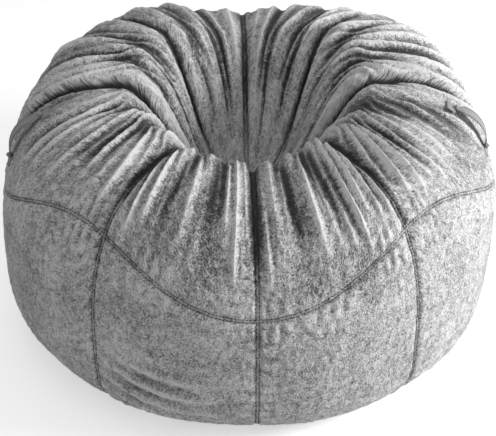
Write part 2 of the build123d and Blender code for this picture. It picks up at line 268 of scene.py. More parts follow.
# where the two carry handles are sewn on, and the smooth places under them
handle = {"az": 81.0, "topHeight": 0.725, "lowHeight": 0.600, "dip": bag["seamDip"] * (18 / 27) ** 2,
          "calmWide": 0.032, "calmTall": 0.085}


def handleCalm(az, radius, height):  # 1 on the smooth places under the two carry handles, fading to 0
    middle = (handle["topHeight"] + handle["lowHeight"]) / 2
    calm = 0
    for turn in (handle["az"], 360 - handle["az"]):
        gap = turnFrom(az, radians(turn)) * radius
        beside = ease(2 - np.abs(gap) / handle["calmWide"])
        calm = calm + beside * ease(2 - np.abs(height - middle) / handle["calmTall"])
    return calm


lumps = {"depth": 0.007, "start": 0, "rise": 1, "end": 2.9, "fall": 0.3, "waves": waveSet(2, 9, 8, 1.2)}
dips = {"lowShare": 0.6, "start": 1.2, "rise": 0.4}  # the seams dip less low down
foldShadeShare = {"crease": 0.5, "pleat": 0.6, "pleatMiddle": 0.006, "seam": 0.55}  # how much each form adds to the painted shade and painted highlight of the pile


def coverLift(az, along, across):  # how far the plush stands from the plain form, and the painted shade of its folds
    radius, height = barePoint(az, along)
    calm = 1 - handleCalm(az, radius, height)
    folds = gatherLift(az, along, across, radius)
    folds = folds + puckerLift(az, along, across, radius, height) + sagLift(az, along, height)
    pleat = pleatLift(az, along, across)
    crease = creaseLift(az, along, radius)
    lump = lumps["depth"] * drift(lumps["waves"], az, along) * window(along, lumps)
    dip = -bag["seamDip"] * across ** 2 * np.sin(pi * along / 3)
    full = dips["lowShare"] + (1 - dips["lowShare"]) * ease((along - dips["start"]) / dips["rise"])
    dip = dip * (calm * full + 1 - calm)
    lift = (folds + crease + lump) * calm + pleat + dip
    # shade: painted shade in the valleys of folds, pleats and creases, and a painted highlight on their
    # ridges
    shade = (folds + foldShadeShare["crease"] * crease) * calm + foldShadeShare["pleat"] * (pleat + foldShadeShare["pleatMiddle"])
    return lift, shade


colAz = np.concatenate([np.linspace(seamAz[i], seamAz[i + 1], colsPer, endpoint=False) for i in range(8)])
colAcross = np.tile(np.linspace(-1, 1, colsPer, endpoint=False), 8)
alongGrid = np.zeros((rows + 1, cols))
lowStep, topStep = np.zeros(cols), np.zeros(cols)
for c in range(cols):
    ring = float(ringAlong(colAz[c]))
    low, lowLength = evenAlong(colAz[c], 0.0, ring, lowRows)
    top, topLength = evenAlong(colAz[c], ring, patchAlong, topRows)
    alongGrid[:lowRows + 1, c], alongGrid[lowRows:, c] = low, top
    lowStep[c], topStep[c] = lowLength / lowRows, topLength / topRows
azGrid = np.repeat(colAz[None, :], rows + 1, 0)
acrossGrid = np.repeat(colAcross[None, :], rows + 1, 0)
startPoints = skinPoint(azGrid, alongGrid, coverLift(azGrid, alongGrid, acrossGrid)[0])
print("cover laid out:", cols, "by", rows)


def pieceOf(name, bm, smooth=True):  # the shaped mesh as an object of the scene
    for face in bm.faces:
        face.smooth = smooth
    mesh = bpy.data.meshes.new(name)
    bm.to_mesh(mesh)
    bm.free()
    piece = bpy.data.objects.new(name, mesh)
    scene.collection.objects.link(piece)
    return piece


def closedPiece(name, bm, smooth=True):  # a closed shape, with its faces turned outwards
    bmesh.ops.recalc_face_normals(bm, faces=bm.faces)
    return pieceOf(name, bm, smooth)


def gridObject(name, across, up, points, wrap=False, pole=False):  # a grid of cells, moved onto its points
    bm = bmesh.new()
    bmesh.ops.create_grid(bm, x_segments=across, y_segments=up, size=0.5)
    places = []
    for v in bm.verts:
        col, row = round((v.co.x + 0.5) * across), round((v.co.y + 0.5) * up)
        places.append((row, col % across if wrap else col))
        v.co = points[places[-1]]
    if wrap:
        pairs = {}
        for v, place in zip(bm.verts, places):
            pairs.setdefault(place, []).append(v)
        bmesh.ops.weld_verts(bm, targetmap={pair[1]: pair[0] for pair in pairs.values() if len(pair) > 1})
        places = list(dict.fromkeys(places))
    if pole:
        bmesh.ops.remove_doubles(bm, verts=bm.verts, dist=1e-6)
    return pieceOf(name, bm), places


def thicken(piece, thickness):  # a live wall, laid inwards
    wall = piece.modifiers.new("cloth thickness", "SOLIDIFY")
    wall.thickness = thickness
    wall.offset = -1


# cloth simulation: spare cloth round the top buckles over the soft fill
cloth = {"frames": 20, "spare": 0.12, "leastSpare": 0.012, "start": 1.35, "rise": 0.5, "end": 2.95,
         "fall": 0.2, "hold": 0.035, "seamHold": 0.4, "seamWidth": 0.05, "lowPin": 0.03, "highPin": 2.83,
         "cap": 0.024, "wideBlur": 30, "fineBlur": 6}
clothSetup = {"quality": 5, "mass": 0.4, "tension_stiffness": 20, "compression_stiffness": 20,
              "shear_stiffness": 8, "bending_stiffness": 0.22, "tension_damping": 10,
              "compression_damping": 10, "shear_damping": 10, "bending_damping": 2, "air_damping": 3,
              "pin_stiffness": 1, "use_pressure": True, "uniform_pressure_force": 1.5}
shiftGrid = np.zeros_like(startPoints)
cover, places = gridObject("clothCover", cols, rows, startPoints, wrap=True)
where = np.array([place[0] * cols + place[1] for place in places])
start = startPoints.reshape(-1, 3)[where]
alongHere = alongGrid.reshape(-1)[where]
edge = 1 - np.abs(acrossGrid.reshape(-1)[where])
spare = cloth["leastSpare"] + cloth["spare"] * window(alongHere, cloth)
cover.shape_key_add(name="start")
rest = cover.shape_key_add(name="rest")
longer = start.copy()
longer[:, :2] *= (1 + spare)[:, None]
rest.data.foreach_set("co", longer.reshape(-1))
hold = np.maximum(cloth["hold"], cloth["seamHold"] * bell(edge, cloth["seamWidth"]))
hold = np.where((alongHere < cloth["lowPin"]) | (alongHere > cloth["highPin"]), 1.0, hold)
group = cover.vertex_groups.new(name="hold")
for i, weight in enumerate(hold):
    group.add([i], float(weight), "REPLACE")
setup = cover.modifiers.new("cloth", "CLOTH").settings
for word, value in clothSetup.items():
    setattr(setup, word, value)
setup.vertex_group_mass = "hold"
setup.rest_shape_key = rest
setup.effector_weights.gravity = 0
for step in range(1, cloth["frames"] + 1):
    scene.frame_set(step)
evaluated = cover.evaluated_get(bpy.context.evaluated_depsgraph_get())
moved = np.zeros(len(where) * 3)
evaluated.data.vertices.foreach_get("co", moved)
shift = moved.reshape(-1, 3) - start
far = np.linalg.norm(shift, axis=1)
calm = handleCalm(azGrid, *barePoint(azGrid, alongGrid)).reshape(-1)[where]
shift *= (np.minimum(1, cloth["cap"] / np.maximum(far, 1e-9)) * (1 - calm))[:, None]
shiftGrid.reshape(-1, 3)[where] = shift
bpy.data.objects.remove(cover)
scene.frame_set(1)
print(f"cloth settled: mean move {far.mean() * 1000:.2f} mm, most {far.max() * 1000:.1f} mm")
settled = startPoints + shiftGrid


def blur(field, passes):  # soft average over neighbours, round the bag and along it
    for k in range(passes):
        field = (np.roll(field, 1, 1) + 2 * field + np.roll(field, -1, 1)) / 4
        ends = np.concatenate([field[:1], field, field[-1:]])
        field = (ends[:-2] + 2 * ends[1:-1] + ends[2:]) / 4
    return field


def facing(field):  # outward normals of the sheet
    ends = np.concatenate([field[:1], field, field[-1:]])
    normal = np.cross(np.roll(field, -1, 1) - np.roll(field, 1, 1), ends[2:] - ends[:-2])
    return normal / np.maximum(np.linalg.norm(normal, axis=-1, keepdims=True), 1e-9)


def unit(vectors):
    return vectors / np.linalg.norm(vectors, axis=-1, keepdims=True)


normals = facing(settled)
# the cloth's buckles, used only as painted shade in their hollows and a painted highlight on their crests
buckleShadeGrid = (shiftGrid - blur(shiftGrid, cloth["wideBlur"])) * facing(blur(settled, cloth["fineBlur"]))
buckleShadeGrid = buckleShadeGrid.sum(-1)


def cubic(values, t):  # a smooth curve through four neighbours
    a, b, c, d = values
    return b + 0.5 * t * (c - a + t * (2 * a - 5 * b + 4 * c - d + t * (3 * (b - c) + d - a)))


def sampled(field, row, col):  # a value of the sheet between its points
    r0, c0 = np.floor(row).astype(int), np.floor(col).astype(int)
    tr, tc = row - r0, col - c0
    if field.ndim == 3:
        tr, tc = tr[..., None], tc[..., None]
    lines = []
    for dr in (-1, 0, 1, 2):
        rr = np.clip(r0 + dr, 0, rows)
        lines.append(cubic([field[rr, (c0 + dc) % cols] for dc in (-1, 0, 1, 2)], tc))
    return cubic(lines, tr)


def azAt(col):
    return np.interp(col % cols, np.arange(cols + 1), np.append(colAz, 2 * pi))


def surfaceAt(row, col):  # the settled plush between the sheet's points: place, normal, painted shade of its folds
    az = azAt(col)
    across = (col % colsPer) / colsPer * 2 - 1
    along = sampled(alongGrid, row, col)
    lift, shade = coverLift(az, along, across)
    point = skinPoint(az, along, lift) + sampled(shiftGrid, row, col)
    return point, unit(sampled(normals, row, col)), shade + sampled(buckleShadeGrid, row, col)


# shape of a sewn seam: two stitched valleys with a low ridge between them
seam = {"groove": 0.0075, "spread": 0.0085, "ridge": 0.0046, "ridgeSpread": 0.0024, "line": 0.0046}
seamStitch = {"pitch": 0.0105, "length": 0.0062, "radius": 0.0009, "upSteps": 900, "roundSteps": 400}
pile = {"tuft": 0.0024, "tuftScale": 58.0, "hair": 0.0011, "hairScale": 135.0, "seamShare": 0.15,
        "seamFade": 0.006}
shell = {"columns": 150, "topRows": 176, "lowRows": 92, "crowd": 0.55, "thickness": 0.010,
         "floorFade": 0.02, "floorGap": 0.0005}


def seamLiftAt(gap):
    return seam["ridge"] * bell(gap, seam["ridgeSpread"]) - seam["groove"] * bell(gap, seam["spread"])


def tuftLift(points):  # uneven tips of the pile
    lift = [pile["tuft"] * noise.noise(Vector(p * pile["tuftScale"]))
            + pile["hair"] * noise.noise(Vector(p * pile["hairScale"])) for p in points.reshape(-1, 3)]
    return np.array(lift).reshape(points.shape[:-1])


def markPoints(mesh, name, values):
    mark = mesh.attributes.new(name, "FLOAT", "POINT")
    mark.data.foreach_set("value", values.astype(np.float32))


def layPattern(mesh, uv):  # a UV map in metres, one place for each point
    loops = np.zeros(len(mesh.loops), int)
    mesh.loops.foreach_get("vertex_index", loops)
    mesh.uv_layers.new(name="nap").data.foreach_set("uv", uv[loops].astype(np.float32).reshape(-1))


def coverPanel(name, index, top):
    count = shell["topRows"] if top else shell["lowRows"]
    t = np.linspace(0, 1, shell["columns"] + 1)
    t = t - shell["crowd"] * np.sin(2 * pi * t) / (2 * pi)  # closer columns at the seams
    s = np.linspace(0, 1, count + 1)
    s = (1 - shell["crowd"]) * s + shell["crowd"] * s ** 2  # closer rows at the ring seam
    rowLine = lowRows + s * topRows if top else lowRows - s[::-1] * lowRows
    col = np.repeat((index + t[None, :]) * colsPer, count + 1, 0)
    row = np.repeat(rowLine[:, None], shell["columns"] + 1, 1)
    points, normal, shade = surfaceAt(row, np.minimum(col, (index + 1) * colsPer - 1e-6))
    wide = np.hypot(points[..., 0], points[..., 1]) * (seamAz[index + 1] - seamAz[index])
    step = np.interp(col % cols, np.arange(cols), topStep if top else lowStep)
    nearest = np.minimum(np.abs(row - lowRows) * step, np.minimum(t, 1 - t)[None, :] * wide)
    still = np.ones_like(nearest)
    if not top:
        still = ease(points[..., 2] / shell["floorFade"])  # flat where it meets the floor
    sewn = seamLiftAt(nearest) * still
    tips = tuftLift(points) * np.clip(nearest / pile["seamFade"], pile["seamShare"], 1) * still
    points = points + normal * (sewn + tips)[..., None]
    points[..., 2] = np.maximum(points[..., 2], shell["floorGap"])
    piece, places = gridObject(name, shell["columns"], count, points)
    order = tuple(np.array(places).T)
    # painted shade in the seam grooves and a painted highlight on the ridge between them, added to the
    # painted fold shade
    markPoints(piece.data, "paintedFoldShade", (shade + foldShadeShare["seam"] * sewn)[order])
    rise = np.linalg.norm(np.diff(points, axis=0), axis=-1)
    rise = np.cumsum(np.concatenate([np.zeros((1, shell["columns"] + 1)), rise]), 0)
    layPattern(piece.data, np.stack([(t[None, :] - 0.5) * wide, rise], -1)[order])
    thicken(piece, shell["thickness"])
    return piece


def keep(piece, body, finish, slotName, *nodes):
    piece.data.materials.clear()
    piece.data.materials.append(finish)
    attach(piece, body)
    if nodes:
        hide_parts(*nodes)
    return piece


def fillIn(node, values):
    for socket, value in values.items():
        node.inputs[socket].default_value = value


def newMaterial(name, rough, shine=0.2):
    material = bpy.data.materials.new(name)
    material.use_nodes = True
    tree = material.node_tree
    shader = tree.nodes["Principled BSDF"]
    fillIn(shader, {"Roughness": rough, "Specular IOR Level": shine})
    return material, tree, shader


def wire(tree, source, output, target, socket):
    tree.links.new(source.outputs[output], target.inputs[socket])


def mapped(tree, kind="Object", scale=(1, 1, 1)):  # coordinates in metres, stretched by scale
    if kind == "UV":
        where = tree.nodes.new("ShaderNodeUVMap")
        where.uv_map = "nap"
    else:
        where = tree.nodes.new("ShaderNodeTexCoord")
    turn = tree.nodes.new("ShaderNodeMapping")
    fillIn(turn, {"Scale": scale})
    wire(tree, where, kind, turn, "Vector")
    return turn


def noiseNode(tree, source, scale, detail, rough, twist=0.0):
    node = tree.nodes.new("ShaderNodeTexNoise")
    fillIn(node, {"Scale": scale, "Detail": detail, "Roughness": rough, "Distortion": twist})
    wire(tree, source, "Vector", node, "Vector")
    return node.outputs["Fac"]


def mathNode(tree, kind, first, second):
    node = tree.nodes.new("ShaderNodeMath")
    node.operation = kind
    for i, value in enumerate((first, second)):
        if isinstance(value, (int, float)):
            node.inputs[i].default_value = value
        else:
            tree.links.new(value, node.inputs[i])
    return node.outputs[0]


def mixDown(tree, *parts):  # weighted sum of values
    total = mathNode(tree, "MULTIPLY", *parts[0])
    for part in parts[1:]:
        total = mathNode(tree, "ADD", total, mathNode(tree, "MULTIPLY", *part))
    return total


def colourBy(tree, shader, value, stops):
    node = tree.nodes.new("ShaderNodeValToRGB")
    points = node.color_ramp.elements
    while len(points) < len(stops):
        points.new(0.5)
    for point, (place, colour) in zip(points, stops):
        point.position = place
        point.color = (*colour, 1)
    tree.links.new(value, node.inputs["Fac"])
    wire(tree, node, "Color", shader, "Base Color")


def colourAndBump(tree, shader, value, stops, strength, distance):
    colourBy(tree, shader, value, stops)
    bump = tree.nodes.new("ShaderNodeBump")
    fillIn(bump, {"Strength": strength, "Distance": distance})
    tree.links.new(value, bump.inputs["Height"])
    wire(tree, bump, "Normal", shader, "Normal")


def grey(place, value):  # a grey with a touch of blue, at its place on the ramp
    return place, (value, value, value * 1.01)


# short plush pile: dark roots, pale tips, thin dark partings; painted shade down in the folds and a painted
# highlight along their ridges
plush = {"ramp": ((0.50, 0.035), (0.635, 0.16), (0.74, 0.41), (0.90, 0.84)),  # place and paleness
         "foldShade": 38.0, "ridgeHighlight": 19.0, "darkest": -0.31, "palest": 0.23,
         "speck": 0.76, "tuft": 0.46, "cloud": 0.24, "parting": -2.2, "partingWidth": 0.035}


def plushFinish():
    material, tree, shader = newMaterial("plush", rough=0.95, shine=0.12)
    fillIn(shader, {"Sheen Weight": 0.30, "Sheen Roughness": 0.5})
    speck = noiseNode(tree, mapped(tree, "UV", (1, 0.78, 1)), scale=210, detail=4, rough=0.62, twist=0.4)
    tuft = noiseNode(tree, mapped(tree, "UV", (1, 0.72, 1)), scale=62, detail=4, rough=0.6, twist=0.7)
    cloud = noiseNode(tree, mapped(tree), scale=8, detail=3, rough=0.55)
    part = noiseNode(tree, mapped(tree, "UV", (1, 0.7, 1)), scale=26, detail=5, rough=0.6, twist=1.6)
    line = mathNode(tree, "ABSOLUTE", mathNode(tree, "SUBTRACT", part, 0.5), 0)
    line = mathNode(tree, "MAXIMUM", mathNode(tree, "SUBTRACT", plush["partingWidth"], line), 0)
    # painted highlight on fold ridges and painted shade in fold valleys and seam grooves, shifting the pile
    # colour
    fold = tree.nodes.new("ShaderNodeAttribute")
    fold.attribute_name = "paintedFoldShade"
    pale = mathNode(tree, "MULTIPLY", fold.outputs["Fac"], plush["ridgeHighlight"])
    dark = mathNode(tree, "MULTIPLY", fold.outputs["Fac"], plush["foldShade"])
    depth = mathNode(tree, "MINIMUM", mathNode(tree, "MINIMUM", pale, dark), plush["palest"])
    depth = mathNode(tree, "MAXIMUM", depth, plush["darkest"])
    mixed = mixDown(tree, (speck, plush["speck"]), (tuft, plush["tuft"]), (cloud, plush["cloud"]),
                    (line, plush["parting"]), (depth, 1.0))
    stops = [grey(place, value) for place, value in plush["ramp"]]
    colourAndBump(tree, shader, mixed, stops, strength=0.9, distance=0.008)
    return material


def clothFinish(name, dark, pale, threads):  # plain weave on Object coordinates
    material, tree, shader = newMaterial(name, rough=0.85)
    where = mapped(tree)
    across = tree.nodes.new("ShaderNodeTexWave")
    across.bands_direction = "X"
    along = tree.nodes.new("ShaderNodeTexWave")
    along.bands_direction = "Y"
    for wave in (across, along):
        fillIn(wave, {"Scale": threads, "Distortion": 0.6})
        wire(tree, where, "Vector", wave, "Vector")
    slub = noiseNode(tree, where, scale=90, detail=4, rough=0.6)
    weave = mixDown(tree, (across.outputs["Fac"], 0.3), (along.outputs["Fac"], 0.3), (slub, 0.4))
    stops = [grey(0.2, dark), grey(0.75, pale)]
    colourAndBump(tree, shader, weave, stops, strength=0.5, distance=0.0006)
    return material


def foamFinish():
    material, tree, shader = newMaterial("shredFoam", rough=0.9)
    crumb = tree.nodes.new("ShaderNodeTexVoronoi")
    fillIn(crumb, {"Scale": 55})
    wire(tree, mapped(tree), "Vector", crumb, "Vector")
    pore = noiseNode(tree, mapped(tree), scale=420, detail=3, rough=0.6)
    value = mixDown(tree, (crumb.outputs["Distance"], 0.7), (pore, 0.45))
    stops = [(0.2, (0.80, 0.74, 0.55)), (0.7, (0.55, 0.47, 0.30))]
    colourAndBump(tree, shader, value, stops, strength=0.8, distance=0.006)
    return material


def grainFinish(name, dark, pale, rough=0.7, scale=900, detail=3, bump=0.4, stretch=1, shine=0.2,
                metal=0.0):  # fine uneven streaks
    material, tree, shader = newMaterial(name, rough, shine)
    fillIn(shader, {"Metallic": metal})
    grain = noiseNode(tree, mapped(tree, scale=(1, stretch, 1)), scale, detail, rough=0.6)
    stops = [grey(0.3, dark), grey(0.7, pale)]
    colourAndBump(tree, shader, grain, stops, strength=bump, distance=0.0003)
    return material


plushMaterial = plushFinish()
baseMaterial = clothFinish("baseCloth", dark=0.045, pale=0.12, threads=260)
linerMaterial = clothFinish("linerCloth", dark=0.55, pale=0.74, threads=320)
tapeMaterial = clothFinish("zipTape", dark=0.03, pale=0.08, threads=420)
webMaterial = clothFinish("webbing", dark=0.19, pale=0.42, threads=210)
foamMaterial = foamFinish()
threadMaterial = grainFinish("thread", dark=0.015, pale=0.05)
coilMaterial = grainFinish("zipCoil", dark=0.03, pale=0.09)
metalMaterial = grainFinish("zipMetal", dark=0.30, pale=0.52, rough=0.35, scale=260, detail=4, bump=0.2,
                            stretch=6, shine=0.5, metal=1.0)

for i, name in enumerate(panelNames):
    gore = coverPanel("plush_gore_" + name, i, True)
    keep(gore, "bag", plushMaterial, "plush", "top_gore_" + name)
    side = coverPanel("plush_side_" + name, i, False)
    keep(side, "bag", plushMaterial, "plush", "side_panel_" + name)
print("cover panels sewn: 16")


def rods(name, places, length, radius):  # short six-sided rods: each has a point, a line and a normal
    bm = bmesh.new()
    for point, line, normal in places:
        side = np.cross(normal, line)
        turn = Matrix((side, normal, line)).transposed().to_4x4()
        bmesh.ops.create_cone(bm, cap_ends=True, segments=6, radius1=radius, radius2=radius, depth=length,
                              matrix=Matrix.Translation(point) @ turn)
    return closedPiece(name, bm, smooth=False)


def sew(name, body, slotName, places, stitch):
    keep(rods(name, places, stitch["length"], stitch["radius"]), body, threadMaterial, slotName)


def stitchLine(row, col, awayRow, awayCol):  # stitches along a run of the sheet, kept to one side of a seam
    point, normal = surfaceAt(row + awayRow, col + awayCol)[:2]
    point = point + normal * (seamLiftAt(seam["line"]) + seamStitch["radius"])
    run = np.concatenate([[0], np.cumsum(np.linalg.norm(np.diff(point, axis=0), axis=1))])
    marks = np.arange(seamStitch["pitch"] / 2, run[-1], seamStitch["pitch"])
    at = np.stack([np.interp(marks, run, point[:, k]) for k in range(3)], -1)
    up = unit(np.stack([np.interp(marks, run, normal[:, k]) for k in range(3)], -1))
    line = unit(np.gradient(at, axis=0))
    line = unit(line - up * (line * up).sum(-1, keepdims=True))
    return list(zip(at, line, up))


# two lines of stitching along every seam of the cover
for i, name in enumerate(panelNames):
    places = []
    row = np.linspace(1.5, rows - 1, seamStitch["upSteps"])
    col = np.full_like(row, i * colsPer)
    edge = settled[:, i * colsPer]
    spread = np.interp(row, np.arange(rows + 1), np.hypot(edge[:, 0], edge[:, 1]))
    for sign, panel in ((-1, i - 1), (1, i)):
        turn = (seamAz[panel % 8 + 1] - seamAz[panel % 8]) / colsPer
        places += stitchLine(row, col, 0, sign * seam["line"] / (spread * turn))
    col = np.linspace(i, i + 1, seamStitch["roundSteps"]) * colsPer
    row = np.full_like(col, lowRows)
    for sign, step in ((-1, lowStep), (1, topStep)):
        stepHere = np.interp(col % cols, np.arange(cols), step)
        places += stitchLine(row, col, sign * seam["line"] / stepHere, 0)
    sew("stitches_" + name, "bag", "plush", places, seamStitch)
print("seams stitched")

# round patch in the middle of the seat
seatRound = {"columns": 72, "rows": 18, "radius": bag["patchRadius"] - 0.0007, "crown": 0.006, "hem": 0.006}
ring = np.linspace(1, 0, seatRound["rows"] + 1)[:, None]
turn = np.linspace(0, 2 * pi, seatRound["columns"], endpoint=False)[None, :]
reach = seatRound["radius"] * ring
crown = seatRound["crown"] * (1 - ring ** 4)
crown = crown - seatRound["crown"] * bell((1 - ring) * seatRound["radius"], seatRound["hem"])
crown = bag["seatHeight"] + crown + 0 * turn
patchPoints = np.stack([reach * np.sin(turn), -reach * np.cos(turn), crown], -1)
patchPoints[..., 2] += tuftLift(patchPoints)
patchPoints[-1] = patchPoints[-1].mean(0)
patch = gridObject("plush_seat_patch", seatRound["columns"], seatRound["rows"], patchPoints,
                   wrap=True, pole=True)[0]
spots = np.zeros(len(patch.data.vertices) * 3)
patch.data.vertices.foreach_get("co", spots)
layPattern(patch.data, spots.reshape(-1, 3)[:, :2])
thicken(patch, shell["thickness"])
keep(patch, "bag", plushMaterial, "plush", "seat_patch")

# two half rounds of base cloth, hemmed along the zip
base = {"radius": 0.6136, "thickness": 0.0105, "slotHalf": 0.012, "slotLength": 1.0, "meet": 0.0002,
        "floorGap": 0.0004, "wave": 0.0025, "waveScale": 6, "edgeFade": 0.04, "slotFade": 0.02,
        "columns": 120, "rows": 36, "crowd": 1.3}
hem = {"away": 0.004, "startGap": 0.004, "height": 0.0008, "pitch": 0.0065, "length": 0.0045,
       "radius": 0.0006}


def basePanel(name, side):
    radius, columns, up = base["radius"], base["columns"], base["rows"]
    x = radius * np.sin(np.linspace(-1, 1, columns + 1) * pi / 2)
    outer = np.sqrt(np.maximum(radius ** 2 - x ** 2, 0))
    slot = np.where(np.abs(x) < base["slotLength"] / 2, base["slotHalf"], base["meet"])
    inner = np.minimum(slot, outer)
    share = np.linspace(0, 1, up + 1)[:, None] ** base["crowd"]
    y = side * (inner + (outer - inner) * share)
    x = np.repeat(x[None, :], up + 1, 0)
    spots = zip(base["waveScale"] * x.ravel(), base["waveScale"] * y.ravel())
    z = np.array([base["wave"] * (0.5 + noise.noise(Vector((a, b, 3)))) for a, b in spots])
    edge = ease((outer - np.abs(y)) / base["edgeFade"]) * ease((np.abs(y) - slot) / base["slotFade"])
    z = base["floorGap"] + np.maximum(z.reshape(x.shape), 0) * edge
    if side < 0:
        x = x[:, ::-1]
        y, z = y[:, ::-1], z[:, ::-1]
    piece = gridObject(name, columns, up, np.stack([x, y, z], -1), pole=True)[0]
    thicken(piece, -base["thickness"])
    return piece


for word, side in (("front", -1), ("back", 1)):
    panel = basePanel("base_cloth_" + word, side)
    keep(panel, "bag", baseMaterial, "base_cloth", "base_panel_" + word)
    y = side * (base["slotHalf"] + hem["away"])
    marks = np.arange(-base["slotLength"] / 2 + hem["startGap"], base["slotLength"] / 2, hem["pitch"])
    places = [((x, y, hem["height"]), (1, 0, 0), (0, 0, -1)) for x in marks]
    sew("hem_stitches_" + word, "bag", "base_cloth", places, hem)

# zip teeth: one small bar every pitch, on both sides of each zip
zipper = {"pitch": 0.0024, "startGap": 0.002, "endGap": 0.001, "length": 0.0030, "radius": 0.0009}
for cover in ("cover", "liner"):
    for word in ("front", "back"):
        node = cover + "_zip_coil_" + word
        low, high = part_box(node)
        middle = (np.array(low) + np.array(high)) / 2
        marks = np.arange(low[0] + zipper["startGap"], high[0] - zipper["endGap"], zipper["pitch"])
        if word == "back":
            marks = marks + zipper["pitch"] / 2
        places = [((x, middle[1], middle[2]), (0, 1, 0), (0, 0, 1)) for x in marks]
        teeth = rods(cover + "_teeth_" + word, places, zipper["length"], zipper["radius"])
        keep(teeth, "bag", coilMaterial, "zip_coil", node)

# the pieces that keep their CAD shape get their finish by a word of their name
nodeFinish = {"zip_tape": tapeMaterial, "zip_slider": metalMaterial, "zip_pull": metalMaterial,
              "zip_stops": metalMaterial, "liner_base": linerMaterial, "liner_seat_patch": linerMaterial}
for name, nodeObject in list(bpy.data.objects.items()):
    for word, finish in nodeFinish.items():
        if word in name and nodeObject.type == "MESH":
            nodeObject.data.materials.clear()
            nodeObject.data.materials.append(finish)
print("base and zips dressed")

# liner and foam lie just under the cover, below its deepest folds
inside = {"widen": 7, "blur": 12, "under": 0.007, "underFade": 0.1, "floorGap": 0.0132}
liner = {"gap": 0.004, "thickness": 0.0015, "columns": 27, "rows": 58}
crumb = {"gap": 0.010, "rows": 70, "depth": 0.004, "scale": 30}
plain = skinPoint(azGrid, alongGrid, 0)
sunk = ((settled - plain) * facing(plain)).sum(-1)
for k in range(inside["widen"]):
    sunk = np.minimum(sunk, np.minimum(np.roll(sunk, 1, 1), np.roll(sunk, -1, 1)))
    sunk[1:] = np.minimum(sunk[1:], sunk[:-1])
    sunk[:-1] = np.minimum(sunk[:-1], sunk[1:])
sunk = blur(sunk, inside["blur"]) - inside["under"] * ease(alongGrid / inside["underFade"])


def innerPoints(row, col, depth):  # a smooth layer under the cover, at a depth below the folds
    row, col = row + 0 * col, col + 0.0 * row
    lift = np.minimum(sampled(sunk, row, col), 0) - shell["thickness"] - depth
    point = skinPoint(azAt(col), sampled(alongGrid, row, col), lift)
    point[..., 2] = np.maximum(point[..., 2], inside["floorGap"] + depth)
    return point


for i, name in enumerate(panelNames):
    col = np.linspace(i, i + 1, liner["columns"] + 1)[None, :] * colsPer
    row = np.linspace(0, rows, liner["rows"] + 1)[:, None]
    grid = innerPoints(row, col, liner["gap"])
    panel = gridObject("liner_cloth_" + name, liner["columns"], liner["rows"], grid)[0]
    thicken(panel, liner["thickness"])
    keep(panel, "bag", linerMaterial, "liner_cloth", "liner_panel_" + name)
    span = np.linalg.norm(np.diff(grid, axis=0), axis=-1).sum(0).mean()
col = np.arange(0, cols, 2)[None, :]
row = np.linspace(0, rows, crumb["rows"])[:, None]
mass = innerPoints(row, col, crumb["gap"])
crumbs = [noise.noise(Vector(p * crumb["scale"])) for p in mass.reshape(-1, 3)]
mass = mass * (1 - crumb["depth"] * (1 + np.array(crumbs).reshape(mass.shape[:-1])[..., None]))
under, over = mass[:1] * np.array([0, 0, 1]), mass[-1:] * np.array([0, 0, 1])
under[..., 2], over[..., 2] = mass[0, :, 2].mean(), mass[-1, :, 2].mean()
mass = np.concatenate([under, mass, over])
foam = gridObject("foam_crumb", cols // 2, len(mass) - 1, mass, wrap=True, pole=True)[0]
keep(foam, "bag", foamMaterial, "foam", "foam_fill")
print("liner and foam laid in")

# carry handles: a bowed strap with a round stub in a loop at each end, and pads sewn to the cover
strap = {"lift": 0.009, "bow": 0.032, "thickness": 0.003, "width": 0.048, "endWidth": 0.016, "taper": 0.024,
         "stubRadius": 0.0045, "stubLength": 0.014, "stubSoft": 0.0012}
loop = {"length": 0.008, "play": 0.001, "inside": 0.0048, "outside": 0.0078, "soft": 0.0009}
pad = {"length": 0.034, "width": 0.050, "thickness": 0.004, "hollow": 0.0018, "gap": 0.0006, "shift": 0.015,
       "bend": 1.4, "corner": 6}
strapStitch = {"line": 0.8, "groove": 0.0006, "sink": 0.0002, "pitch": 0.0062, "startTurn": 0.1,
               "endTurn": 0.09, "length": 0.0042, "radius": 0.0006}
padStitch = {"inset": 0.004, "groove": 0.0012, "edge": 0.0016, "sink": 0.0010, "length": 0.0040,
             "radius": 0.0006}
padMarks = [(x, s, (1, 0, 0)) for s in (-0.82, 0.82) for x in np.linspace(-0.7, 0.7, 5)]
padMarks += [(s, x, (0, 1, 0)) for s in (-0.74, 0.74) for x in np.linspace(-0.75, 0.75, 7)]
grooveWidth = 0.0012


def footPlace(az, height):  # where the skin passes a height above the girth, and its slope down there
    low, high = 1.0, 2.0
    for step in range(40):
        middle = (low + high) / 2
        point = skinPoint(np.array(az), np.array(middle), -handle["dip"] * sin(pi * middle / 3))
        low, high = (middle, high) if point[2] < height else (low, middle)
    below = skinPoint(np.array(az), np.array(low - 0.01), -handle["dip"] * sin(pi * low / 3))
    return Vector(point), (Vector(below) - Vector(point)).normalized()


def facesOf(verts):
    return list(dict.fromkeys(face for v in verts for face in v.link_faces))


def strapArc(span):  # the strap bows as part of a circle: its radius and half its angle
    half, bow = span / 2, strap["bow"]
    bend = (half ** 2 + bow ** 2) / (2 * bow)
    return bend, asin(half / bend)


def strapHalf(span, x):  # half the strap's width, less towards its ends
    taper = min(1, (span / 2 - abs(x)) / strap["taper"])
    return (strap["endWidth"] + (strap["width"] - strap["endWidth"]) * taper) / 2


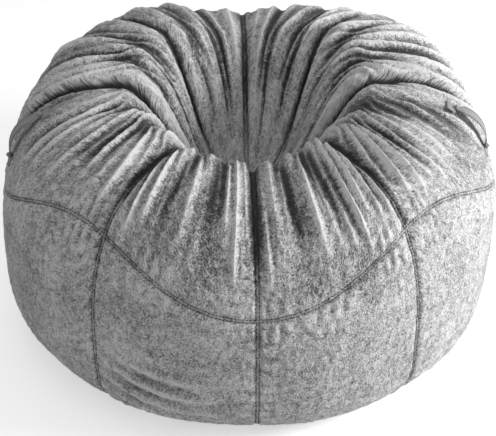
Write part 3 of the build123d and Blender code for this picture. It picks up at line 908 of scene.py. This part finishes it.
def strapBand(bm, place, span):  # a bowed band of webbing, narrower towards its ends
    bend, most = strapArc(span)
    verts = bmesh.ops.create_grid(bm, x_segments=64, y_segments=10, size=0.5)["verts"]
    for v in verts:
        angle, sideways = 2 * v.co.x * most, 2 * v.co.y
        half = strapHalf(span, bend * sin(angle))
        inset = (abs(sideways) - strapStitch["line"]) * half
        reach = bend - strapStitch["groove"] * exp(-(inset / grooveWidth) ** 2)
        height = reach * cos(angle) - bend + strap["bow"]
        v.co = place @ Vector((reach * sin(angle), sideways * half, height))
    faces = facesOf(verts)
    bmesh.ops.recalc_face_normals(bm, faces=faces)
    bmesh.ops.solidify(bm, geom=faces, thickness=strap["thickness"])


def strapStub(bm, place, centre):  # a round stub that turns inside a loop
    middle = place @ Matrix.Translation((centre, 0, 0)) @ Matrix.Rotation(pi / 2, 4, "Y")
    thick = strap["stubRadius"]
    made = bmesh.ops.create_cone(bm, cap_ends=True, segments=24, radius1=thick, radius2=thick,
                                 depth=strap["stubLength"], matrix=middle)
    edges = dict.fromkeys(edge for v in made["verts"] for edge in v.link_edges)
    rims = [edge for edge in edges if len(edge.link_faces) == 2
            and any(len(face.verts) > 4 for face in edge.link_faces)]
    bmesh.ops.bevel(bm, geom=rims, offset=strap["stubSoft"], segments=3, profile=0.5, affect="EDGES",
                    material=-1)


def strapStitches(place, span):  # one line of stitches along each edge of the strap
    bend, most = strapArc(span)
    turned, places = place.to_3x3(), []
    first, last = strapStitch["startTurn"] - most, most - strapStitch["endTurn"]
    turns = np.arange(first, last, strapStitch["pitch"] / bend)
    for sideways in (-strapStitch["line"], strapStitch["line"]):
        for angle in turns:
            x = bend * sin(angle)
            height = bend * cos(angle) - bend + strap["bow"] - strapStitch["sink"]
            point = place @ Vector((x, sideways * strapHalf(span, x), height))
            line = turned @ Vector((cos(angle), 0, -sin(angle)))
            places.append((point, line, turned @ Vector((sin(angle), 0, cos(angle)))))
    return places


def loopRing(bm, place, start, length):  # a short sewn tube that holds one end of the strap
    inner, outer, soft = loop["inside"], loop["outside"], loop["soft"]
    outline = ((start, inner), (start + length, inner), (start + length + soft / 2, (inner + outer) / 2),
               (start + length, outer - soft / 2), (start + length - soft, outer), (start + soft, outer),
               (start, outer - soft / 2), (start - soft / 2, (inner + outer) / 2))
    points = [bm.verts.new(place @ Vector((x, 0, r))) for x, r in outline]
    edges = [bm.edges.new((points[k], points[(k + 1) % len(points)])) for k in range(len(points))]
    bmesh.ops.spin(bm, geom=points + edges, cent=place @ Vector((0, 0, 0)),
                   axis=place.to_3x3() @ Vector((1, 0, 0)), angle=2 * pi, steps=32, use_merge=True)


def sewnPad(bm, place):  # a soft rectangle of webbing, puffed a little inside its stitching
    power, long, wide = pad["corner"], pad["length"], pad["width"]
    verts = bmesh.ops.create_grid(bm, x_segments=20, y_segments=26, size=0.5)["verts"]
    for v in verts:
        u, w = 2 * v.co.x, 2 * v.co.y
        corner = (abs(u) ** power + abs(w) ** power) ** (1 / power)
        pull = max(abs(u), abs(w)) / max(corner, 1e-9)
        inset = min((1 - abs(u)) * long, (1 - abs(w)) * wide) / 2
        puff = pad["thickness"]
        puff -= padStitch["groove"] * exp(-((inset - padStitch["inset"]) / grooveWidth) ** 2)
        puff -= padStitch["edge"] * exp(-(inset / grooveWidth) ** 2)
        x, y = u * pull * long / 2, w * pull * wide / 2
        v.co = place @ Vector((x, y, pad["gap"] + puff - pad["bend"] * (x * x + y * y)))
    faces = facesOf(verts)
    bmesh.ops.recalc_face_normals(bm, faces=faces)
    bmesh.ops.solidify(bm, geom=faces, thickness=pad["thickness"] - pad["hollow"])


def padStitches(place, out):
    top = pad["gap"] + pad["thickness"] - padStitch["sink"]
    places = []
    for u, w, way in padMarks:
        x, y = u * pad["length"] / 2, w * pad["width"] / 2
        point = place @ Vector((x, y, top - pad["bend"] * (x * x + y * y)))
        places.append((point, place.to_3x3() @ Vector(way), out))
    return places


def upward(way):
    return -way if way.z < 0 else way


def frameOf(origin, xAxis, zAxis):
    turn = Matrix((xAxis, zAxis.cross(xAxis), zAxis)).transposed().to_4x4()
    return Matrix.Translation(origin) @ turn


for word, az in (("right", radians(handle["az"])), ("left", radians(360 - handle["az"]))):
    topFoot, topSlope = footPlace(az, handle["topHeight"])
    lowFoot, lowSlope = footPlace(az, handle["lowHeight"])
    hoopWay = Vector((cos(az), sin(az), 0))
    fall = (lowFoot - topFoot).normalized()
    out = upward(hoopWay.cross(fall).normalized())
    span = (lowFoot - topFoot).length
    place = frameOf((topFoot + lowFoot) / 2 + out * strap["lift"], fall, out)
    bm = bmesh.new()
    strapBand(bm, place, span)
    for end in (-1, 1):
        tip = span / 2 + loop["length"] + loop["play"]
        strapStub(bm, place, end * (tip - strap["stubLength"] / 2))
    band = closedPiece("strap_" + word, bm)
    keep(band, word + "_strap", webMaterial, "webbing", "carry_strap_" + word)
    sew("strap_stitches_" + word, word + "_strap", "webbing", strapStitches(place, span), strapStitch)
    bm = bmesh.new()
    places = []
    for end, foot, slope in ((-1, topFoot, topSlope), (1, lowFoot, lowSlope)):
        padOut = upward(hoopWay.cross(slope).normalized())
        padPlace = frameOf(foot, slope, padOut) @ Matrix.Translation((end * pad["shift"], 0, 0))
        sewnPad(bm, padPlace)
        start = end * (span / 2 + loop["length"] / 2) - loop["length"] / 2
        loopRing(bm, place, start, loop["length"])
        places += padStitches(padPlace, padOut)
    pads = closedPiece("handle_pads_" + word, bm)
    keep(pads, "bag", webMaterial, "webbing", "handle_anchors_" + word)
    sew("pad_stitches_" + word, "bag", "webbing", places, padStitch)
print("handles sewn on")

# stage: pale floor, soft light from the right, camera at the photo's angle
view = {"elevation": 36.0, "azimuth": -2.0, "distance": 3.85, "targetHeight": 0.258, "focalPixels": 1147.5,
        "imageWidth": 496, "sensor": 36}
stage = {"worldLight": 0.37, "floorGlow": 0.52, "floorHalf": 12}
camera = bpy.data.cameras.new("camera")
camera.sensor_fit = "HORIZONTAL"
camera.sensor_width = view["sensor"]
camera.lens = view["sensor"] * view["focalPixels"] / view["imageWidth"]
cameraObject = bpy.data.objects.new("camera", camera)
scene.collection.objects.link(cameraObject)
up, side = radians(view["elevation"]), radians(view["azimuth"])
target = Vector((0, 0, view["targetHeight"]))
away = Vector((cos(up) * sin(side), -cos(up) * cos(side), sin(up)))
cameraObject.location = target + away * view["distance"]
cameraObject.rotation_euler = (-away).to_track_quat("-Z", "Y").to_euler()
scene.camera = cameraObject
scene.view_settings.view_transform = "Standard"


def areaLight(name, place, aim, size, power):
    lamp = bpy.data.lights.new(name, "AREA")
    lamp.shape = "DISK"
    lamp.size = size
    lamp.energy = power
    lampObject = bpy.data.objects.new(name, lamp)
    lampObject.location = place
    lampObject.rotation_euler = (Vector(aim) - Vector(place)).to_track_quat("-Z", "Y").to_euler()
    scene.collection.objects.link(lampObject)


areaLight("keyRight", place=(3.7, -0.8, 1.85), aim=(0.2, 0, 0.4), size=1.6, power=152)
areaLight("topSoft", place=(-0.6, 0.2, 4.2), aim=(0, 0, 0.4), size=2.6, power=18)
world = bpy.data.worlds.new("studio")
world.use_nodes = True
fillIn(world.node_tree.nodes["Background"], {"Color": (1, 1, 1, 1), "Strength": stage["worldLight"]})
scene.world = world
bm = bmesh.new()
bmesh.ops.create_grid(bm, x_segments=1, y_segments=1, size=stage["floorHalf"])
floor = pieceOf("floor", bm, smooth=False)
material, tree, shader = newMaterial("paleFloor", rough=0.9)
grain = noiseNode(tree, mapped(tree), scale=3, detail=2, rough=0.5)
colourBy(tree, shader, grain, [grey(0.3, 0.84), grey(0.7, 0.86)])
fillIn(shader, {"Emission Color": (1, 1, 1, 1)})
seen = tree.nodes.new("ShaderNodeLightPath")
shown = mathNode(tree, "MAXIMUM", seen.outputs["Is Camera Ray"], seen.outputs["Is Glossy Ray"])
glow = mathNode(tree, "MULTIPLY", shown, stage["floorGlow"])
tree.links.new(glow, shader.inputs["Emission Strength"])
under = tree.nodes.new("ShaderNodeNewGeometry")  # seen from below, the floor lets the base show
hidden = mathNode(tree, "MULTIPLY", under.outputs["Backfacing"], seen.outputs["Is Camera Ray"])
tree.links.new(mathNode(tree, "SUBTRACT", 1, hidden), shader.inputs["Alpha"])
floor.data.materials.append(material)
